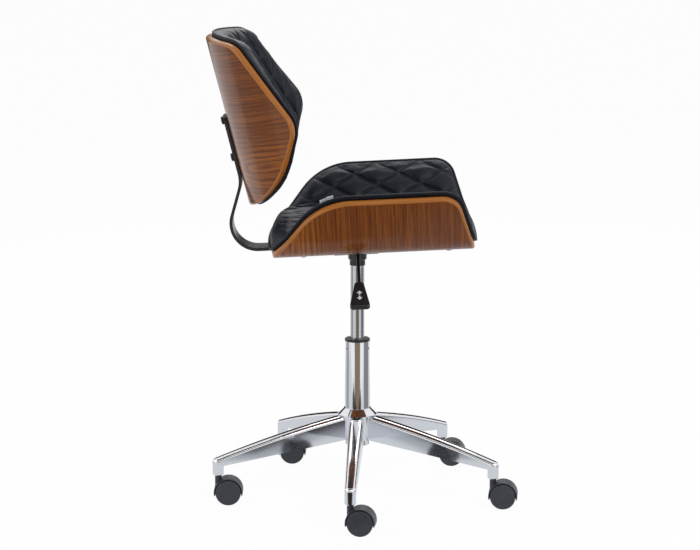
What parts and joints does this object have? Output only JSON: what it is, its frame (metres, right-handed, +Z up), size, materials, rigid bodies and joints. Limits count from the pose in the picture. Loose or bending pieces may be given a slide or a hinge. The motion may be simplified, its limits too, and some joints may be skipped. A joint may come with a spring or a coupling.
{
  "type": "swivel office chair",
  "caption": "Armless swivel chair with bent walnut plywood seat and back shells, quilted black pads, a sprung back bar, a gas lift with lever, and a chrome star base on twin-wheel castors.",
  "frame": {"origin": "on the floor, on the gas lift's axis", "axes": "+X to the front of the seat, +Y to the sitter's left, +Z up"},
  "size_m": [0.6114, 0.5687, 0.9222],
  "materials": {
    "chrome": "polished",
    "castor_plastic": "matte",
    "zinc_steel": "satin",
    "black_plastic": "satin",
    "rubber": "matte",
    "black_steel": "satin",
    "walnut": "satin",
    "board": "matte",
    "cover": "satin"
  },
  "bodies": {
    "base": {"hub": "chrome", "hub_cap": "chrome", "column_tube": "chrome", "guide_bush": "black_plastic", "thrust_bearing": "zinc_steel", "base_arm_1": "chrome", "base_arm_2": "chrome", "base_arm_3": "chrome", "base_arm_4": "chrome", "base_arm_5": "chrome", "castor_stem_1": "zinc_steel", "castor_stem_2": "zinc_steel", "castor_stem_3": "zinc_steel", "castor_stem_4": "zinc_steel", "castor_stem_5": "zinc_steel"},
    "piston": {"piston_rod": "zinc_steel", "rod_clip": "zinc_steel", "buffer_ring": "rubber"},
    "seat": {"pressure_tube": "zinc_steel", "rod_seal": "rubber", "taper_socket": "black_steel", "seat_pan": "black_steel", "lever_pin": "zinc_steel", "seat_shell": "walnut", "seat_board": "board", "seat_cushion": "cover", "pad_bolts": "zinc_steel", "pan_bolts": "zinc_steel", "bar_bolts": "zinc_steel", "seat_nuts": "zinc_steel", "back_bar": "black_steel", "back_shell": "walnut", "back_board": "board", "back_cushion": "cover", "back_bolts": "zinc_steel", "back_nuts": "zinc_steel"},
    "lever": {"lever_rod": "black_steel", "lever_paddle": "black_plastic"},
    "valve": {"valve_button": "zinc_steel"},
    "castor_1": {"castor_hood_1": "castor_plastic", "castor_axle_1": "zinc_steel"},
    "wheel_left_1": {"castor_wheel_left_1": "castor_plastic"},
    "wheel_right_1": {"castor_wheel_right_1": "castor_plastic"},
    "castor_2": {"castor_hood_2": "castor_plastic", "castor_axle_2": "zinc_steel"},
    "wheel_left_2": {"castor_wheel_left_2": "castor_plastic"},
    "wheel_right_2": {"castor_wheel_right_2": "castor_plastic"},
    "castor_3": {"castor_hood_3": "castor_plastic", "castor_axle_3": "zinc_steel"},
    "wheel_left_3": {"castor_wheel_left_3": "castor_plastic"},
    "wheel_right_3": {"castor_wheel_right_3": "castor_plastic"},
    "castor_4": {"castor_hood_4": "castor_plastic", "castor_axle_4": "zinc_steel"},
    "wheel_left_4": {"castor_wheel_left_4": "castor_plastic"},
    "wheel_right_4": {"castor_wheel_right_4": "castor_plastic"},
    "castor_5": {"castor_hood_5": "castor_plastic", "castor_axle_5": "zinc_steel"},
    "wheel_left_5": {"castor_wheel_left_5": "castor_plastic"},
    "wheel_right_5": {"castor_wheel_right_5": "castor_plastic"}
  },
  "joints": [
    {"name": "swivel", "type": "hinge", "parent": "base", "child": "piston", "pos_m": [0, 0, 0.11], "axis": [0, 0, 1], "continuous": true},
    {"name": "lift", "type": "slide", "parent": "piston", "child": "seat", "axis": [0, 0, 1], "range_m": [-0.1, 0], "stiffness_N_per_m": 500, "springref_m": 0.7},
    {"name": "lever_tip", "type": "hinge", "parent": "seat", "child": "lever", "pos_m": [0.00042, -0.03, 0.50531], "axis": [-0.9988, 0, -0.0483], "range_deg": [0, 7], "stiffness_Nm_per_rad": 20, "springref_deg": -5.73},
    {"name": "valve_press", "type": "slide", "parent": "seat", "child": "valve", "axis": [0, 0, -1], "range_m": [0, 0.0038]},
    {"name": "castor_1_swivel", "type": "hinge", "parent": "base", "child": "castor_1", "pos_m": [-0.01412, -0.28465, 0.058], "axis": [0, 0, 1], "continuous": true},
    {"name": "wheel_left_1_spin", "type": "hinge", "parent": "castor_1", "child": "wheel_left_1", "pos_m": [0.00568, -0.28743, 0.025], "axis": [0.1392, 0.9903, 0], "continuous": true},
    {"name": "wheel_right_1_spin", "type": "hinge", "parent": "castor_1", "child": "wheel_right_1", "pos_m": [0.00568, -0.28743, 0.025], "axis": [0.1392, 0.9903, 0], "continuous": true},
    {"name": "castor_2_swivel", "type": "hinge", "parent": "base", "child": "castor_2", "pos_m": [0.26636, -0.10139, 0.058], "axis": [0, 0, 1], "continuous": true},
    {"name": "wheel_left_2_spin", "type": "hinge", "parent": "castor_2", "child": "wheel_left_2", "pos_m": [0.28625, -0.10348, 0.025], "axis": [0.1045, 0.9945, 0], "continuous": true},
    {"name": "wheel_right_2_spin", "type": "hinge", "parent": "castor_2", "child": "wheel_right_2", "pos_m": [0.28625, -0.10348, 0.025], "axis": [0.1045, 0.9945, 0], "continuous": true},
    {"name": "castor_3_swivel", "type": "hinge", "parent": "base", "child": "castor_3", "pos_m": [0.17874, 0.22199, 0.058], "axis": [0, 0, 1], "continuous": true},
    {"name": "wheel_left_3_spin", "type": "hinge", "parent": "castor_3", "child": "wheel_left_3", "pos_m": [0.19863, 0.2199, 0.025], "axis": [0.1045, 0.9945, 0], "continuous": true},
    {"name": "wheel_right_3_spin", "type": "hinge", "parent": "castor_3", "child": "wheel_right_3", "pos_m": [0.19863, 0.2199, 0.025], "axis": [0.1045, 0.9945, 0], "continuous": true},
    {"name": "castor_4_swivel", "type": "hinge", "parent": "base", "child": "castor_4", "pos_m": [-0.15589, 0.23859, 0.058], "axis": [0, 0, 1], "continuous": true},
    {"name": "wheel_left_4_spin", "type": "hinge", "parent": "castor_4", "child": "wheel_left_4", "pos_m": [-0.1359, 0.23789, 0.025], "axis": [0.0349, 0.9994, 0], "continuous": true},
    {"name": "wheel_right_4_spin", "type": "hinge", "parent": "castor_4", "child": "wheel_right_4", "pos_m": [-0.1359, 0.23789, 0.025], "axis": [0.0349, 0.9994, 0], "continuous": true},
    {"name": "castor_5_swivel", "type": "hinge", "parent": "base", "child": "castor_5", "pos_m": [-0.27508, -0.07453, 0.058], "axis": [0, 0, 1], "continuous": true},
    {"name": "wheel_left_5_spin", "type": "hinge", "parent": "castor_5", "child": "wheel_left_5", "pos_m": [-0.25508, -0.07453, 0.025], "axis": [0, 1, 0], "continuous": true},
    {"name": "wheel_right_5_spin", "type": "hinge", "parent": "castor_5", "child": "wheel_right_5", "pos_m": [-0.25508, -0.07453, 0.025], "axis": [0, 1, 0], "continuous": true}
  ],
  "couplings": [
    {"joint": "valve_press", "follows": "lever_tip", "m_per_rad": 0.03}
  ]
}
